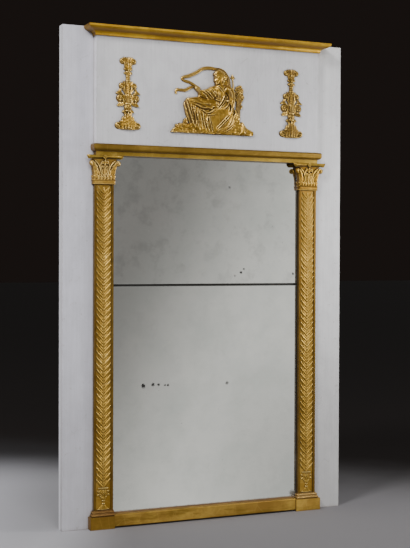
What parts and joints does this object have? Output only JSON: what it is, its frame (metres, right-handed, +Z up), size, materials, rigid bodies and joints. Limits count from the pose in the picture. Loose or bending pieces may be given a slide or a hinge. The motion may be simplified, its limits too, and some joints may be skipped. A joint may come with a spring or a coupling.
{
  "type": "overmantel mirror",
  "caption": "Tall neoclassical overmantel mirror: painted boards, gilt pilasters with leaf capitals, moulded cornice, relief frieze and a divided mirror plate.",
  "frame": {"origin": "middle of the overall box at the bottom edge", "axes": "+X to the right seen from the room, -Y the mirror's front, +Y towards the wall, +Z up"},
  "size_m": [1.13, 0.106, 1.8],
  "materials": {
    "white_paint": "aged off-white painted wood, eggshell",
    "gilt_wood": "gilded wood, worn leaf over dark ground, satin",
    "gilt_relief": "gilded carved relief with darkened hollows, satin",
    "mirror_glass": "old silvered plate glass with small spots",
    "dark_slip": "dark stained wood",
    "pine": "bare aged softwood",
    "iron": "blackened iron",
    "screw_steel": "dull steel"
  },
  "bodies": {
    "root": {"architrave_strip": "gilt_wood", "backboard_glue_blocks": "pine", "bottom_back_rail": "pine", "bottom_board": "pine", "bottom_glass_slip": "dark_slip", "bottom_rail": "gilt_wood", "cornice_front": "gilt_wood", "figure_relief": "gilt_relief", "frieze_back_rail": "pine", "frieze_bottom_batten": "pine", "frieze_moulding_front": "gilt_wood", "frieze_panel": "white_paint", "frieze_top_batten": "pine", "left_abacus": "gilt_wood", "left_back_stile": "pine", "left_base_moulding": "gilt_wood", "left_candelabrum_ornament": "gilt_relief", "left_capital": "gilt_wood", "left_cornice_return": "gilt_wood", "left_frieze_moulding_return": "gilt_wood", "left_frieze_return": "white_paint", "left_glass_slip": "dark_slip", "left_leaf_spray": "gilt_wood", "left_panel_urn": "gilt_wood", "left_pilaster_shaft": "gilt_wood", "left_plinth_block": "gilt_wood", "left_side_board": "white_paint", "left_wall_plate": "iron", "lower_backboard": "pine", "lower_mirror_glass": "mirror_glass", "middle_back_rail": "pine", "plate_screws": "screw_steel", "right_abacus": "gilt_wood", "right_back_stile": "pine", "right_base_moulding": "gilt_wood", "right_candelabrum_ornament": "gilt_relief", "right_capital": "gilt_wood", "right_cornice_return": "gilt_wood", "right_frieze_moulding_return": "gilt_wood", "right_frieze_return": "white_paint", "right_glass_slip": "dark_slip", "right_leaf_spray": "gilt_wood", "right_panel_urn": "gilt_wood", "right_pilaster_shaft": "gilt_wood", "right_plinth_block": "gilt_wood", "right_side_board": "white_paint", "right_wall_plate": "iron", "scarf_relief": "gilt_relief", "staff_relief": "gilt_relief", "top_back_rail": "pine", "top_board": "pine", "top_glass_slip": "dark_slip", "tree_stump_relief": "gilt_relief", "upper_backboard": "pine", "upper_mirror_glass": "mirror_glass"}
  },
  "joints": []
}
